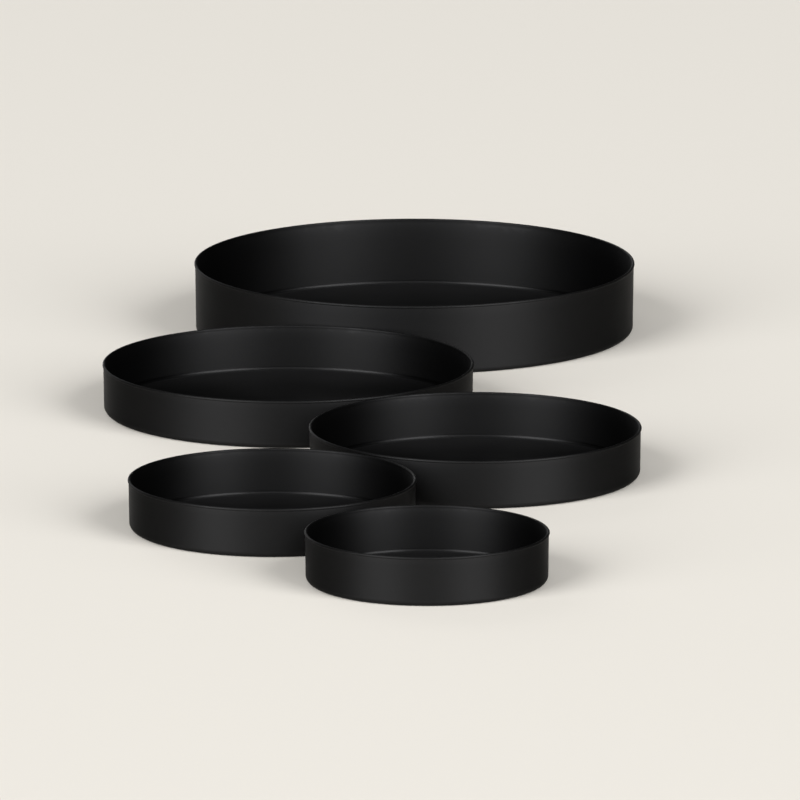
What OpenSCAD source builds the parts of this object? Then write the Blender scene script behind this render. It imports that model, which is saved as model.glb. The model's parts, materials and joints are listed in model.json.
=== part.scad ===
// Set of five straight-walled round pans, standing clear of each other on one flat surface.
// Every pan is one seamless drawn piece: a flat floor, a rounded floor corner, a wall that
// leans out by a little draft, and a rounded bead along the rim. Each smaller pan nests in
// the next larger one. Units are millimetres, +Z is up and +Y points to the back of the set.
// The origin is the middle of the set's footprint, on the surface that the pans stand on.

/* [Rim diameters] */
// Outside diameter of the largest pan, over its rim bead
largest_d = 457; // [420:1:480]
// Outside diameter of the large pan
large_d = 377; // [350:1:400]
// Outside diameter of the medium pan
medium_d = 332; // [305:1:345]
// Outside diameter of the small pan
small_d = 284; // [260:1:298]
// Outside diameter of the smallest pan
smallest_d = 238; // [200:1:250]

/* [Heights] */
// Height of the largest pan, from the surface to the top of its rim
largest_h = 72; // [60:1:100]
// Height of the other four pans
other_h = 49; // [40:1:80]

/* [Sheet] */
// Thickness of the drawn sheet, in the floor, the corner and the wall
sheet_t = 2; // [1.2:0.1:2.4]
// Lean of the walls out from upright, in degrees
wall_draft = 0.7; // [0:0.1:3]

/* [Floor corner] */
// Inside radius of the corner between floor and wall
corner_r = 4; // [2:0.5:16]

/* [Rim bead] */
// How far the bead along every rim stands out from the outside of the wall
bead_proud = 0.8; // [0.2:0.1:1]
// How far the bead stands in from the inside of the wall
bead_inside = 0.1; // [0.1:0.1:1]

/* [Layout] */
// Gap between the rims of the largest and the large pan
largest_gap = 3; // [1:1:80]
// Gap between the rims of the large and the medium pan
large_gap = 6; // [1:1:80]
// Gap between the rims of the medium and the small pan
medium_gap = 8; // [1:1:80]
// Gap between the rims of the small and the smallest pan
small_gap = 23; // [1:1:80]
// Way from the largest pan to the large one, in degrees to the right of straight forward
largest_bearing = -17.8; // [-40:0.1:0]
// Way from the large pan to the medium one
large_bearing = 31.5; // [0:0.1:45]
// Way from the medium pan to the small one
medium_bearing = -39.4; // [-45:0.1:0]
// Way from the small pan to the smallest one
small_bearing = 32.3; // [0:0.1:45]

/* [Hidden] */
$fn = 96;

// Places in the lists below, from the widest pan to the narrowest
LARGEST = 0;
LARGE = 1;
MEDIUM = 2;
SMALL = 3;
SMALLEST = 4;
PANS = [LARGEST : SMALLEST];

rim_d = [largest_d, large_d, medium_d, small_d, smallest_d];
pan_h = [largest_h, other_h, other_h, other_h, other_h];
outer_corner_r = corner_r + sheet_t;
// The bead spans the sheet and stands proud on both sides of it
bead_r = (bead_inside + sheet_t + bead_proud) / 2;
gap_to_next = [largest_gap, large_gap, medium_gap, small_gap];
bearing_to_next = [largest_bearing, large_bearing, medium_bearing, small_bearing];

satin_black = "#1c1c1d";

// Middle of a pan, counted from the middle of the largest one: each pan stands one step
// further forward, at its own bearing, with the stated gap between the two rims
function step_to(i) = (rim_d[i - 1] + rim_d[i]) / 2 + gap_to_next[i - 1];
function heading(angle) = [sin(angle), -cos(angle)];
function middle(i) =
    i == LARGEST ? [0, 0] : middle(i - 1) + step_to(i) * heading(bearing_to_next[i - 1]);

// Middle of the footprint of the whole set along one axis, 0 for X and 1 for Y
function low_side(axis) = min([for (i = PANS) middle(i)[axis] - rim_d[i] / 2]);
function high_side(axis) = max([for (i = PANS) middle(i)[axis] + rim_d[i] / 2]);
function footprint_middle(axis) = (low_side(axis) + high_side(axis)) / 2;
footprint = [footprint_middle(0), footprint_middle(1)];

// Lower half of a flat ring around the origin
module lower_half_ring(inner_r, outer_r) {
    difference() {
        circle(outer_r);
        circle(inner_r);
        translate([-2 * outer_r, 0])
            square([4 * outer_r, 2 * outer_r]);
    }
}

// Half of a pan's section, in the plane of its radius and its height
module pan_section(d, h) {
    bead_x = d / 2 - bead_r;
    bead_z = h - bead_r;
    // The outside of the wall passes the bead's middle at this radius
    wall_r = d / 2 - bead_proud;
    wall_rise = bead_z - outer_corner_r;
    corner_x = wall_r - wall_rise * tan(wall_draft) - outer_corner_r / cos(wall_draft);
    // Along its lean, the wall ends level with the bead's middle
    wall_length = (bead_x - corner_x) * sin(wall_draft) + wall_rise * cos(wall_draft);

    // Floor, out to where the corner begins to round upwards
    square([corner_x, sheet_t]);
    // Corner and wall, turned together by the draft about the middle of the corner
    translate([corner_x, outer_corner_r])
        intersection() {
            rotate(-wall_draft) {
                lower_half_ring(corner_r, outer_corner_r);
                translate([corner_r, 0])
                    square([sheet_t, wall_length]);
            }
            translate([0, -2 * outer_corner_r])
                square([4 * outer_corner_r, h + 2 * outer_corner_r]);
        }
    // Rim bead
    translate([bead_x, bead_z])
        circle(bead_r);
}

// One pan of the set, where it stands
module pan(i) {
    color(satin_black)
        translate(middle(i) - footprint)
            rotate_extrude()
                pan_section(rim_d[i], pan_h[i]);
}

module largest_pan() pan(LARGEST);
module large_pan() pan(LARGE);
module medium_pan() pan(MEDIUM);
module small_pan() pan(SMALL);
module smallest_pan() pan(SMALLEST);

largest_pan();
large_pan();
medium_pan();
small_pan();
smallest_pan();
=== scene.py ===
# %% [markdown]
# # A graded set of satin-black pans
#
# The object is a set of five round pans, from a wide deep one at the back to a small one at the
# front. Each is pressed from one sheet of aluminium and anodised black, so there is no seam, no
# rivet and no handle: all the looks are in one smooth section, a satin finish and the light.
# The construction comes in as a fixed frame, already at its real size. This lesson reads the
# place and size of each pan from that frame and dresses it with a finer mesh and a finish.

# %% Load the frame
import json
import math

import bmesh
import bpy
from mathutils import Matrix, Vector


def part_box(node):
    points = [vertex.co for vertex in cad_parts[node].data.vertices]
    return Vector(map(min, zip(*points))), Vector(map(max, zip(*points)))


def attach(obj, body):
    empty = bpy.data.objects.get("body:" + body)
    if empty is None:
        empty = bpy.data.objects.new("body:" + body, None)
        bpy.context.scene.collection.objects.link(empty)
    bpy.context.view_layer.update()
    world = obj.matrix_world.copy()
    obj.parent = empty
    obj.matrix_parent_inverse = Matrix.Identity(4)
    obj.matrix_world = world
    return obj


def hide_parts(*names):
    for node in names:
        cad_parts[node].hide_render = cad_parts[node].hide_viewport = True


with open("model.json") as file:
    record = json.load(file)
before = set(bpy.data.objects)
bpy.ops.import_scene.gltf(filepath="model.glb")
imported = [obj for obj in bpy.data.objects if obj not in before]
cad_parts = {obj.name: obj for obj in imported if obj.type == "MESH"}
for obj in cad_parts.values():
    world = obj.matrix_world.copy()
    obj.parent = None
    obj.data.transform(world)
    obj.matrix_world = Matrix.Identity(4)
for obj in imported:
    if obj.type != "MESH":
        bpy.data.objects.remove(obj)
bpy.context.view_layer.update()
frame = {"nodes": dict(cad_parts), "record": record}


def width_of(name):
    """Returns how wide a node of the frame is."""
    low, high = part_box(name)
    return high.x - low.x


pan_names = sorted(frame["nodes"], key=width_of, reverse=True)
print("pans from the widest to the narrowest:", pan_names)

# %% [markdown]
# ## The camera
#
# The pans were photographed with a very long lens from a little above: the rims of the near and
# the far pans are ellipses of one and the same flatness. A camera 17 m away that looks down by
# 12 degrees gives that. The lens follows from how many pixels a metre takes in the picture, so
# the picture's scale is the value to write down, and the focal length is worked out from it.

# %% Make the camera
image_width = 800
pixels_per_metre = 982.0
sensor_width = 36.0
camera_distance = 17.0
camera_reach = 170.0
camera_pitch = math.radians(12)
camera_target = Vector((0.0292, 0.1897, 0.0))

camera_data = bpy.data.cameras.new("camera")
camera_data.sensor_width = sensor_width
camera_data.lens = sensor_width * camera_distance * pixels_per_metre / image_width
camera_data.clip_end = camera_reach
camera = bpy.data.objects.new("camera", camera_data)
back_and_up = Vector((0, -math.cos(camera_pitch), math.sin(camera_pitch)))
camera.location = camera_target + camera_distance * back_and_up
camera.rotation_euler = (math.pi / 2 - camera_pitch, 0, 0)
bpy.context.scene.collection.objects.link(camera)
bpy.context.scene.camera = camera
print("focal length in millimetres:", round(camera_data.lens, 1))

# %% [markdown]
# ## A pen for sections
#
# A pan is a solid of revolution, so it could be turned from a stack of rings or from a cylinder
# with bevelled edges. The section decides everything here: a floor corner that is truly tangent
# to the floor and to the leaning wall, and a round bead on the rim. So the section is drawn first,
# as one chain of edges, with a pen that knows two strokes. A line extrudes the pen's tip, and an
# arc spins it about a centre. The points also carry three numbers that the finish reads later:
# "along" is the way that the pen has gone, "matt" is how rough the skin is there, and the third
# says how much the black is lightened: wear where it gets rubbed, and at the top of the inside
# wall also a painted highlight, a lighter band where more light falls. A line takes them at
# stops, each at a share of its length.


# %% A pen for sections
class SectionPen:
    """Draws a chain of edges in the XZ plane of a new bmesh."""

    def __init__(self, x, z, matt):
        self.mesh = bmesh.new()
        self.along = self.mesh.verts.layers.float.new("along")
        self.matt = self.mesh.verts.layers.float.new("matt")
        self.rub_and_painted_highlight = self.mesh.verts.layers.float.new("rub_and_painted_highlight")
        self.tip = self.mesh.verts.new((x, 0, z))
        self.tip[self.matt] = matt

    def line(self, x, z, stops):
        """Draws a straight stroke, with a point at each stop: its share of the stroke, matt, and the
        lightening: wear, and painted highlight at the top of the inside wall.
        """
        start, end = self.tip.co.copy(), Vector((x, 0, z))
        for share, matt, rub_and_painted_highlight in stops:
            made = bmesh.ops.extrude_vert_indiv(self.mesh, verts=[self.tip])
            self._move_to(made["verts"][0], start.lerp(end, share), matt, rub_and_painted_highlight)

    def arc(self, centre_x, centre_z, angle, steps, matt, rub_and_painted_highlight=0):
        """Draws an arc about a centre. A positive angle turns from +X towards +Z."""
        centre = Vector((centre_x, 0, centre_z))
        for _ in range(steps):
            made = bmesh.ops.spin(
                self.mesh, geom=[self.tip], cent=centre, axis=(0, -1, 0), angle=angle / steps, steps=1)
            last = next(item for item in made["geom_last"] if isinstance(item, bmesh.types.BMVert))
            self._move_to(last, last.co.copy(), matt, rub_and_painted_highlight)

    def _move_to(self, vertex, place, matt, rub_and_painted_highlight):
        """Puts a new point in its place, writes its numbers and makes it the tip."""
        vertex.co = place
        vertex[self.along] = self.tip[self.along] + (place - self.tip.co).length
        vertex[self.matt] = matt
        vertex[self.rub_and_painted_highlight] = rub_and_painted_highlight
        self.tip = vertex


print("the pen draws lines and arcs")

# %% [markdown]
# ## Sizes of the sheet
#
# The pans differ only in diameter and height, and both are read from the frame. What they share is
# the sheet: its thickness, the lean of the wall, the radius of the floor corner and the bead that
# stiffens the rim. Round shapes are made of straight steps, so the steps are fine enough for the
# outline to stay smooth when the camera comes close.

# %% Sizes of the sheet
sheet_thickness = 0.002
wall_draft = math.radians(0.7)
floor_corner = 0.004
bead_diameter = 0.0029
bead_proud = 0.0008

spin_steps = 256
half_corner_steps = 10
bead_steps = 36
sharp_crease = math.radians(30)
touching = 1e-6
print("sheet of", 1000 * sheet_thickness, "mm with a bead of", 1000 * bead_diameter, "mm on its rim")

# %% [markdown]
# ## The skin of the sheet
#
# Drawing the sheet changes its skin. The middle of the floor stays smooth, and towards the corner,
# where the sheet was stretched most, it is rougher. The punch irons the inside corner: that is the
# thin bright line along the foot of the inner wall. Hands and stacking rub the rim and the outer
# corner a shade lighter. The top of the inside wall is lighter still: a painted highlight that
# stands in for the light falling more on the upper wall, on top of a little rubbing. All this
# changes only along the section, so it needs no painted map: a few stops on each stroke of the
# pen say how matt it is and how much lighter.

# %% How matt, how rubbed and how painted lighter, from stop to stop
satin, ironed = 0.55, 0.38
smooth, half_stretched, mostly_stretched, stretched = 0.40, 0.48, 0.58, 0.64
# The lightening numbers: wear on the rim and the outer corner; at the top of the inside wall they paint a
# highlight for the light that falls there.
faint_rub_and_painted_highlight, corner_rub, bead_rub, hand_rub_and_painted_highlight = 0.3, 0.5, 0.6, 0.9

floor_stops = (
    (0.3, smooth, 0), (0.6, half_stretched, 0), (0.85, mostly_stretched, 0), (1, stretched, 0))
# The top of the inside wall is painted lighter: a painted highlight with a little rubbing.
inner_wall_stops = (
    (0.03, satin, 0), (0.4, satin, 0), (0.7, satin, 0),
    (0.85, satin, faint_rub_and_painted_highlight), (0.96, satin, hand_rub_and_painted_highlight), (1, satin, hand_rub_and_painted_highlight))
outer_wall_stops = (
    (0.03, satin, faint_rub_and_painted_highlight), (0.15, satin, 0), (0.5, satin, 0), (0.97, satin, 0), (1, satin, 0))
underside_stops = ((0.02, satin, 0), (0.25, satin, 0), (0.6, satin, 0), (1, satin, 0))
print("the skin goes from", ironed, "to", stretched, "in roughness")

# %% [markdown]
# ## Drawing the section
#
# The pen starts at the middle of the inside floor, rounds the floor corner, climbs the inside of
# the wall, goes over the rim bead and comes back down outside to the middle of the underside. The
# wall leans, and the bead is thicker than the sheet, so the two places where the faces of the wall
# run into the bead are worked out first. The arc over the rim goes from the one to the other.


# %% Draw the section
def draw_section(rim_diameter, height):
    """Returns a pen that has drawn half the section of a pan about the Z axis."""
    outer_corner = floor_corner + sheet_thickness
    bead_radius = bead_diameter / 2
    bead_x, bead_z = rim_diameter / 2 - bead_radius, height - bead_radius
    wall_rise = bead_z - outer_corner
    corner_x = (rim_diameter / 2 - bead_proud - wall_rise * math.tan(wall_draft)
                - outer_corner / math.cos(wall_draft))

    def wall_foot(from_corner):
        """Where a face of the wall, so far from the middle of the corner, begins."""
        return Vector((corner_x + from_corner * math.cos(wall_draft),
                       outer_corner - from_corner * math.sin(wall_draft)))

    def wall_meets_bead(from_corner):
        """Where that face of the wall runs into the bead."""
        foot = wall_foot(from_corner)
        up = Vector((math.sin(wall_draft), math.cos(wall_draft)))
        to_bead = Vector((bead_x, bead_z)) - foot
        reach = to_bead.dot(up)
        aside = (to_bead - reach * up).length
        return foot + (reach - math.sqrt(bead_radius ** 2 - aside ** 2)) * up

    inside, outside = wall_meets_bead(floor_corner), wall_meets_bead(outer_corner)
    angle_inside = math.atan2(inside.y - bead_z, inside.x - bead_x)
    angle_outside = math.atan2(outside.y - bead_z, outside.x - bead_x)
    over_the_top = (angle_outside - angle_inside) % math.tau - math.tau
    round_the_corner = math.pi / 2 - wall_draft

    pen = SectionPen(0, sheet_thickness, smooth)
    pen.line(corner_x, sheet_thickness, floor_stops)
    pen.arc(corner_x, outer_corner, round_the_corner / 2, half_corner_steps, stretched)
    pen.arc(corner_x, outer_corner, round_the_corner / 2, half_corner_steps, ironed)
    pen.line(*inside, inner_wall_stops)
    pen.arc(bead_x, bead_z, over_the_top, bead_steps, satin, bead_rub)
    pen.line(*wall_foot(outer_corner), outer_wall_stops)
    pen.arc(corner_x, outer_corner, -round_the_corner, 2 * half_corner_steps, satin, corner_rub)
    pen.line(0, 0, underside_stops)
    return pen


print("a section has", len(floor_stops) + len(inner_wall_stops), "stops on its inside")

# %% [markdown]
# ## A flat layout for textures
#
# When the model is exported, its finish is baked to textures, and these need a flat layout of the
# surface. Blender could unwrap a pan into islands, but the press lines would then run every way.
# Here the way round the pan lies across the layout and the way along the section stands up in it,
# so the lines stay straight and the brushed sheen keeps its direction.


# %% Lay a pan out flat
def lay_out(pan, along):
    """Lays a pan about the Z axis out flat, with the way round it across and the section upright."""
    whole_way = max(vertex[along] for vertex in pan.verts)
    layout = pan.loops.layers.uv.new("OFBake")
    for face in pan.faces:
        middle = face.calc_center_median()
        turn = math.atan2(middle.y, middle.x) / math.tau
        for corner in face.loops:
            place = corner.vert.co
            at_pole = place.xy.length < touching
            aside = 0 if at_pole else math.remainder(math.atan2(place.y, place.x) / math.tau - turn, 1)
            corner[layout].uv = (0.5 + turn + aside, 1 - corner.vert[along] / whole_way)


print("one turn of a pan fills the width of its layout")

# %% [markdown]
# ## Spinning the pans
#
# A spin of the section about the upright axis makes the pan. `use_merge` closes the seam where the
# spin meets its start, and merging doubles closes the two poles on the axis. A spin can turn a
# shape inside out, so the normals are worked out again before the pan is moved to its place. Only
# one crease stays sharp, the one under the bead on the outside.


# %% Spin the pans
def spin_pan(name):
    """Spins one pan where the frame has it, and returns its object."""
    low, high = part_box(name)
    rim_diameter = max(high.x - low.x, high.y - low.y)
    pen = draw_section(rim_diameter, high.z - low.z)
    pan = pen.mesh
    bmesh.ops.spin(pan, geom=pan.verts[:] + pan.edges[:], cent=(0, 0, 0), axis=(0, 0, 1),
                   angle=math.tau, steps=spin_steps, use_merge=True)
    bmesh.ops.remove_doubles(pan, verts=pan.verts, dist=touching)
    bmesh.ops.recalc_face_normals(pan, faces=pan.faces)
    lay_out(pan, pen.along)
    middle = (low + high) / 2
    bmesh.ops.translate(pan, verts=pan.verts, vec=(middle.x, middle.y, low.z))
    mesh = bpy.data.meshes.new(name + "_sheet")
    pan.to_mesh(mesh)
    pan.free()
    mesh.shade_smooth()
    mesh.set_sharp_from_angle(angle=sharp_crease)
    piece = bpy.data.objects.new(name + "_sheet", mesh)
    bpy.context.scene.collection.objects.link(piece)
    print(name, "is", round(1000 * rim_diameter), "mm across,", len(mesh.polygons), "faces")
    return piece


pans = {name: spin_pan(name) for name in pan_names}

# %% [markdown]
# ## Shader maths as expressions
#
# A finish is a small graph of nodes. Written node by node it is hard to read, so one class wraps
# a socket: adding, subtracting and multiplying wrapped sockets adds the Math nodes, and one method
# makes any other node from its type, its settings and its inputs.


# %% A wire of the shader graph
class Wire:
    """An output socket of a node, or the start of a graph where it has no socket yet."""

    def __init__(self, tree, socket=None):
        self.tree = tree
        self.socket = socket

    def node(self, kind, settings=None, inputs=None, output=0):
        """Adds a node, sets it up, feeds its inputs and returns one of its outputs."""
        made = self.tree.nodes.new(kind)
        for key, value in (settings or {}).items():
            setattr(made, key, value)
        for key, value in (inputs or {}).items():
            if isinstance(value, Wire):
                self.tree.links.new(value.socket, made.inputs[key])
            else:
                made.inputs[key].default_value = value
        return Wire(self.tree, made.outputs[output])

    def maths(self, operation, first, second):
        """Adds a Math node on two values, of which either may be a plain number."""
        return self.node("ShaderNodeMath", {"operation": operation}, {0: first, 1: second})

    def __add__(self, other):
        return self.maths("ADD", self, other)

    def __radd__(self, other):
        return self.maths("ADD", other, self)

    def __sub__(self, other):
        return self.maths("SUBTRACT", self, other)

    def __rsub__(self, other):
        return self.maths("SUBTRACT", other, self)

    def __mul__(self, other):
        return self.maths("MULTIPLY", self, other)

    def __rmul__(self, other):
        return self.maths("MULTIPLY", other, self)

    def feed(self, socket):
        """Links the wire to an input of a shader."""
        self.tree.links.new(self.socket, socket)


print("wires add up")

# %% [markdown]
# ## The satin-black finish
#
# Black anodising is a thin, hard and slightly porous skin on the pressed metal. It reflects
# about a sixtieth of the light, and what it reflects is broad and soft. A black plastic would do
# for the colour, but plastic turns bright where it is seen at a slant, and the flanks of these
# pans stay dark. So the finish is a metal with a very dark base colour, and its edge tint dims
# the slant. Fine lines left by the press run round the pan and spread the light across them, up
# and down the wall: that is the anisotropy, which is turned a quarter to lie across the lines.
#
# Close up the skin isn't even: it has a fine grain, the sheen drifts a little from place to place,
# and where the pans get rubbed the black wears in patches. At the top of the inside wall the black
# is also painted lighter, a painted highlight for the light that falls there. The lines read the
# "along" number, so they follow floor, corner and wall without a map. Grain, drift and wear read
# Object coordinates.

# %% Colours and measures of the finish
anodised_black = (0.0168, 0.0168, 0.0171, 1)
# A lighter black for wear on the rim and the outer corner, and for the painted highlight at the top of the
# inside wall.
worn_and_painted_highlight_grey = (0.026, 0.026, 0.0265, 1)
spread_across_lines = 0.62
quarter_turn = 0.25
edge_tint = (0.53, 0.53, 0.53, 1)

drift_scale, drift_detail, drift_of_sheen = 14, 3, 0.10
line_scale, line_detail, lines_in_sheen = 900, 3, 0.08
wear_scale, wear_detail, gloss_of_wear = 70, 5, 0.08
wear_begins, wear_ends, rub_adds_wear = 0.68, 0.85, 0.25
# How evenly and how patchily the black is lightened; the even part at the top of the inside wall is
# painted highlight.
even_rub_and_painted_highlight, patchy_rub = 0.6, 0.4
grain_scale, grain_detail = 2200, 2
skin_depth, skin_strength, lines_in_skin = 0.0001, 0.25, 0.5
noise_middle = 0.5

# A Mix node has sockets for numbers, vectors and colours, and these are the colours
first_colour, second_colour, mixed_colour = 6, 7, 2
print("the press left", line_scale, "lines to the metre or more")


# %% Mix the finish
def satin_black():
    """Returns the finish that all the pans share."""
    finish = bpy.data.materials.new("satin_black")
    finish.use_nodes = True
    shader = finish.node_tree.nodes["Principled BSDF"]
    graph = Wire(finish.node_tree)
    place = graph.node("ShaderNodeTexCoord", output="Object")

    def skin_number(layer):
        return graph.node("ShaderNodeAttribute", {"attribute_name": layer}, output="Fac")

    def noise(scale, detail):
        return graph.node("ShaderNodeTexNoise", inputs={"Vector": place, "Scale": scale, "Detail": detail})

    along, matt, rub_and_painted_highlight = skin_number("along"), skin_number("matt"), skin_number("rub_and_painted_highlight")
    drift = noise(drift_scale, drift_detail) - noise_middle
    grain = noise(grain_scale, grain_detail)
    press_lines = graph.node("ShaderNodeTexNoise", {"noise_dimensions": "1D"},
                             {"W": along, "Scale": line_scale, "Detail": line_detail})
    worn = graph.node("ShaderNodeMapRange", {"interpolation_type": "SMOOTHSTEP"},
                      {"Value": noise(wear_scale, wear_detail) + rub_adds_wear * rub_and_painted_highlight,
                       "From Min": wear_begins, "From Max": wear_ends})

    # The base colour is lightened with the third skin number: wear, and painted highlight at the top of
    # the inside wall.
    colour = graph.node("ShaderNodeMix", {"data_type": "RGBA"},
                        {"Factor": rub_and_painted_highlight * (even_rub_and_painted_highlight + patchy_rub * worn),
                         first_colour: anodised_black, second_colour: worn_and_painted_highlight_grey}, output=mixed_colour)
    colour.feed(shader.inputs["Base Color"])
    roughness = (matt + drift_of_sheen * drift + lines_in_sheen * (press_lines - noise_middle)
                 - gloss_of_wear * worn * rub_and_painted_highlight)
    roughness.feed(shader.inputs["Roughness"])
    skin = graph.node("ShaderNodeBump", inputs={
        "Strength": skin_strength, "Distance": skin_depth,
        "Height": grain + lines_in_skin * press_lines}, output="Normal")
    skin.feed(shader.inputs["Normal"])
    shader.inputs["Metallic"].default_value = 1
    shader.inputs["Specular Tint"].default_value = edge_tint
    shader.inputs["Anisotropic"].default_value = spread_across_lines
    shader.inputs["Anisotropic Rotation"].default_value = quarter_turn
    print("finish", finish.name, "has", len(finish.node_tree.nodes), "nodes")
    return finish


pan_finish = satin_black()

# %% [markdown]
# ## Hanging the pans on the frame
#
# Each dressed pan takes the place of the plain solid of the same name and rides on the body that
# carried it, so it moves wherever the frame moves that body.

# %% Dress the frame
bodies = frame["record"]["behaviour"]["bodies"]
body_of = {node: body for body, nodes in bodies.items() for node in nodes}
for name, piece in pans.items():
    piece.data.materials.append(pan_finish)
    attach(piece, body_of[name])
    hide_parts(name)
    print(piece.name, "rides on", body_of[name])

# %% [markdown]
# ## Floor and light
#
# A dark satin surface shows the room more than its own colour. The photographed walls have two
# broad upright lobes of light with a darker strip between them, and dark flanks: that is one tall
# softbox on each side of the camera, about 45 degrees round, and a dim one behind the camera that
# keeps the strip from going black. The left edges are a little lighter again. A lower dim softbox
# does that, from far round on the left, and it shows the backs of the pans too. All of them stand
# far off, so that the near and the far pans get the same light. A dim even world fills in the rest.
# The floor lies a hair below the undersides of the pans, so that no two faces lie in one plane.

# %% Floor
floor_radius = 60.0
floor_sides = 128
floor_gap = 0.0002
floor_colour = (0.74, 0.71, 0.655, 1)
floor_roughness = 0.9

floor_mesh = bpy.data.meshes.new("floor")
disc = bmesh.new()
bmesh.ops.create_circle(disc, cap_ends=True, radius=floor_radius, segments=floor_sides)
disc.to_mesh(floor_mesh)
disc.free()
floor_finish = bpy.data.materials.new("pale_floor")
floor_finish.use_nodes = True
floor_shader = floor_finish.node_tree.nodes["Principled BSDF"]
floor_shader.inputs["Base Color"].default_value = floor_colour
floor_shader.inputs["Roughness"].default_value = floor_roughness
floor_shader.inputs["Specular IOR Level"].default_value = 0
floor_mesh.materials.append(floor_finish)
floor = bpy.data.objects.new("floor", floor_mesh)
floor.location.z = -floor_gap
bpy.context.scene.collection.objects.link(floor)
print("floor radius in metres:", floor_radius)

# %% Softboxes
softbox_distance = 42.0
softbox_width = 30.6
tall_height, low_height = 46.5, 30.0
side_azimuth = math.radians(45)
rear_azimuth = math.radians(155)
side_power = 32000
front_power = 7600
rear_power = 4500


def softbox(name, azimuth, height, power):
    """Stands one softbox on the floor, facing the pans, at an angle from the camera's side."""
    lamp = bpy.data.lights.new(name, "AREA")
    lamp.shape = "RECTANGLE"
    lamp.size, lamp.size_y = softbox_width, height
    lamp.energy = power
    stand = bpy.data.objects.new(name, lamp)
    stand.location = (softbox_distance * math.sin(azimuth), -softbox_distance * math.cos(azimuth),
                      height / 2)
    stand.rotation_euler = (math.pi / 2, 0, azimuth)
    stand.visible_camera = False
    bpy.context.scene.collection.objects.link(stand)
    print(name, "at", [round(value, 2) for value in stand.location])


softbox("left_softbox", -side_azimuth, tall_height, side_power)
softbox("front_softbox", 0, tall_height, front_power)
softbox("right_softbox", side_azimuth, tall_height, side_power)
softbox("rear_softbox", -rear_azimuth, low_height, rear_power)

# %% World and view
world_colour = (1, 1, 1, 1)
world_strength = 0.1

world = bpy.data.worlds.new("studio")
world.use_nodes = True
background = world.node_tree.nodes["Background"]
background.inputs["Color"].default_value = world_colour
background.inputs["Strength"].default_value = world_strength
bpy.context.scene.world = world
bpy.context.scene.view_settings.view_transform = "Standard"
print("strength of the world:", world_strength)
